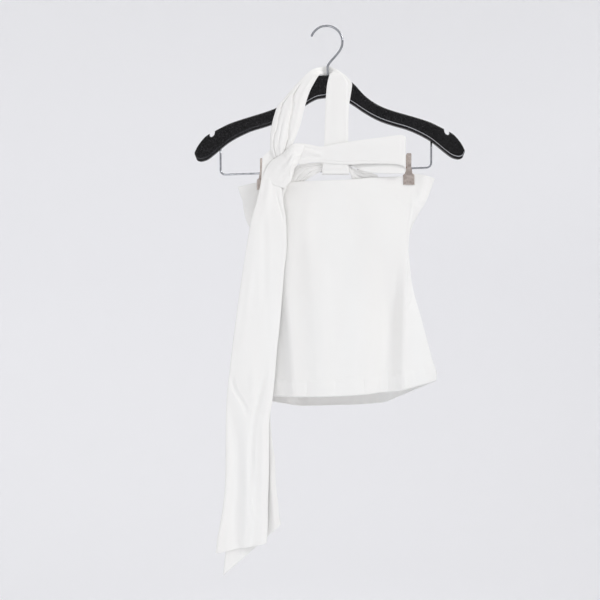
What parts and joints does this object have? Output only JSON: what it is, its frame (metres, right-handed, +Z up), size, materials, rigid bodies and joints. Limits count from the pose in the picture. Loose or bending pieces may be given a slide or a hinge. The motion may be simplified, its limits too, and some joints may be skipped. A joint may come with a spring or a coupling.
{
  "type": "strapless halter bodice with tie scarf on a clip hanger",
  "caption": "White strapless bodice with a looped neck band and a long knotted scarf, clipped flat to a black wooden hanger.",
  "frame": {"origin": "inner top of the hanger hook's loop, where it rests on a rail or wall hook", "axes": "+Z up, +X to the viewer's right along the hanger, and -Y out of the garment's front"},
  "size_m": [0.4448, 0.0815, 0.9031],
  "materials": {
    "bodice_cloth": "white crepe-back weave, matte with a soft sheen",
    "scarf_cloth": "white crepe-back weave, matte with a soft sheen",
    "hanger_wood": "black semi-gloss paint with light scuffs",
    "wire": "bright plated steel wire",
    "clip_metal": "warm nickel plate",
    "spring_wire": "coppered spring steel"
  },
  "bodies": {
    "root": {"hanger_body": "hanger_wood", "hanger_hook": "wire", "hanger_bar": "wire", "clip_left_front": "clip_metal", "clip_left_back": "clip_metal", "clip_left_spring": "spring_wire", "clip_right_front": "clip_metal", "clip_right_back": "clip_metal", "clip_right_spring": "spring_wire", "body_front": "bodice_cloth", "body_back": "bodice_cloth", "neck_band": "scarf_cloth", "front_gather": "scarf_cloth", "scarf_cross": "scarf_cloth", "scarf_knot": "scarf_cloth", "scarf_tail_front": "scarf_cloth", "scarf_tail_back": "scarf_cloth"}
  },
  "joints": []
}
